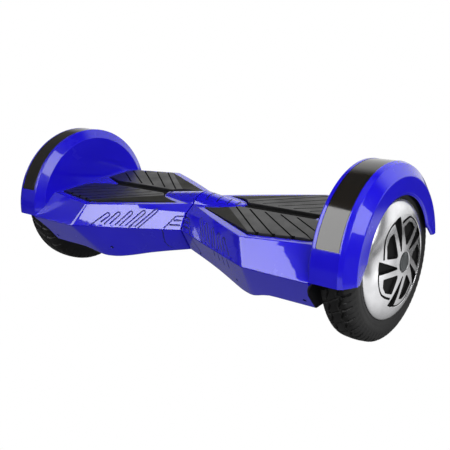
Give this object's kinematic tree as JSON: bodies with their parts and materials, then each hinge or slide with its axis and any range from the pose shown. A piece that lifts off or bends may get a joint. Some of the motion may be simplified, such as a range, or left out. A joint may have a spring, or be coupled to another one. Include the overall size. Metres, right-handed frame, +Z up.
{
  "type": "self balancing hoverboard",
  "caption": "Two-wheel self balancing board whose halves twist against each other, with rubber foot pads, wheel arches and hub motors.",
  "frame": {"origin": "on the ground under the middle of the board", "axes": "+X along the wheel axle towards the half with the battery, +Y to the rear, +Z up"},
  "size_m": [0.614, 0.2338, 0.2171],
  "materials": {
    "blue_shell": "high gloss moulded ABS",
    "pad_rubber": "fine grained rubber",
    "smoked_strip": "polished smoked lens",
    "circuit_board": "solder mask",
    "indicator": "tinted lens",
    "cast_alloy": "as cast",
    "steel": "zinc plated",
    "black_steel": "black oxide",
    "cable_sheath": "matt sheath",
    "winding": "enamelled copper on laminations",
    "magnet": "nickel plated",
    "polished_alloy": "polished",
    "tyre_rubber": "moulded tread",
    "cap_plastic": "satin",
    "bronze": "sintered",
    "seal_rubber": "matt",
    "battery_wrap": "heat shrink",
    "components": "mixed components",
    "black_plastic": "satin"
  },
  "bodies": {
    "left_deck": {"joint_seal": "seal_rubber", "left_axle": "steel", "left_axle_clamp": "cast_alloy", "left_bottom_shell": "blue_shell", "left_chassis": "cast_alloy", "left_clamp_bolts": "steel", "left_gyro_board": "circuit_board", "left_indicator_lens": "indicator", "left_light_board": "circuit_board", "left_light_strip": "smoked_strip", "left_motor_cable": "cable_sheath", "left_motor_stator": "winding", "left_shell_screws": "black_steel", "left_top_shell": "blue_shell", "mainboard": "circuit_board", "mainboard_components": "components", "pivot_circlip": "black_steel", "pivot_lock_bolt": "steel", "pivot_tube": "steel", "power_button_bezel": "black_plastic", "twist_limit_pin": "steel", "wiring_harness": "cable_sheath"},
    "right_deck": {"battery_bracket": "steel", "battery_pack": "battery_wrap", "charge_port": "black_plastic", "pivot_bushes": "bronze", "right_axle": "steel", "right_axle_clamp": "cast_alloy", "right_bottom_shell": "blue_shell", "right_chassis": "cast_alloy", "right_clamp_bolts": "steel", "right_gyro_board": "circuit_board", "right_indicator_lens": "indicator", "right_light_board": "circuit_board", "right_light_strip": "smoked_strip", "right_motor_cable": "cable_sheath", "right_motor_stator": "winding", "right_shell_screws": "black_steel", "right_top_shell": "blue_shell"},
    "left_wheel": {"left_wheel_rim": "polished_alloy", "left_motor_cover": "cast_alloy", "left_cover_screws": "steel", "left_wheel_bearings": "steel", "left_tyre": "tyre_rubber", "left_hub_cap": "cap_plastic", "left_rotor_magnets": "magnet"},
    "right_wheel": {"right_wheel_rim": "polished_alloy", "right_motor_cover": "cast_alloy", "right_cover_screws": "steel", "right_wheel_bearings": "steel", "right_tyre": "tyre_rubber", "right_hub_cap": "cap_plastic", "right_rotor_magnets": "magnet"},
    "left_pad": {"left_foot_pad": "pad_rubber", "left_pad_plungers": "pad_rubber"},
    "right_pad": {"right_foot_pad": "pad_rubber", "right_pad_plungers": "pad_rubber"},
    "charge_cap": {"charge_port_cap": "seal_rubber"},
    "power_switch": {"power_button": "cap_plastic"}
  },
  "joints": [
    {"name": "twist", "type": "hinge", "parent": "left_deck", "child": "right_deck", "pos_m": [0, 0, 0.1015], "axis": [1, 0, 0], "range_deg": [-12, 12]},
    {"name": "left_wheel_spin", "type": "hinge", "parent": "left_deck", "child": "left_wheel", "pos_m": [-0.27, 0, 0.1015], "axis": [1, 0, 0], "continuous": true},
    {"name": "right_wheel_spin", "type": "hinge", "parent": "right_deck", "child": "right_wheel", "pos_m": [0.27, 0, 0.1015], "axis": [1, 0, 0], "continuous": true},
    {"name": "left_pad_press", "type": "slide", "parent": "left_deck", "child": "left_pad", "axis": [0, 0, -1], "range_m": [0, 0.0015], "stiffness_N_per_m": 9000, "springref_m": -0.0008},
    {"name": "right_pad_press", "type": "slide", "parent": "right_deck", "child": "right_pad", "axis": [0, 0, -1], "range_m": [0, 0.0015], "stiffness_N_per_m": 9000, "springref_m": -0.0008},
    {"name": "charge_cap_hinge", "type": "hinge", "parent": "right_deck", "child": "charge_cap", "pos_m": [0.185, 0.11246, 0.09327], "axis": [1, 0, 0], "range_deg": [0, 110], "stiffness_Nm_per_rad": 0.002, "springref_deg": -14.32},
    {"name": "power_button_press", "type": "slide", "parent": "left_deck", "child": "power_switch", "axis": [0, -0.8247, 0.5656], "range_m": [0, 0.0012], "stiffness_N_per_m": 700, "springref_m": -0.0006}
  ]
}
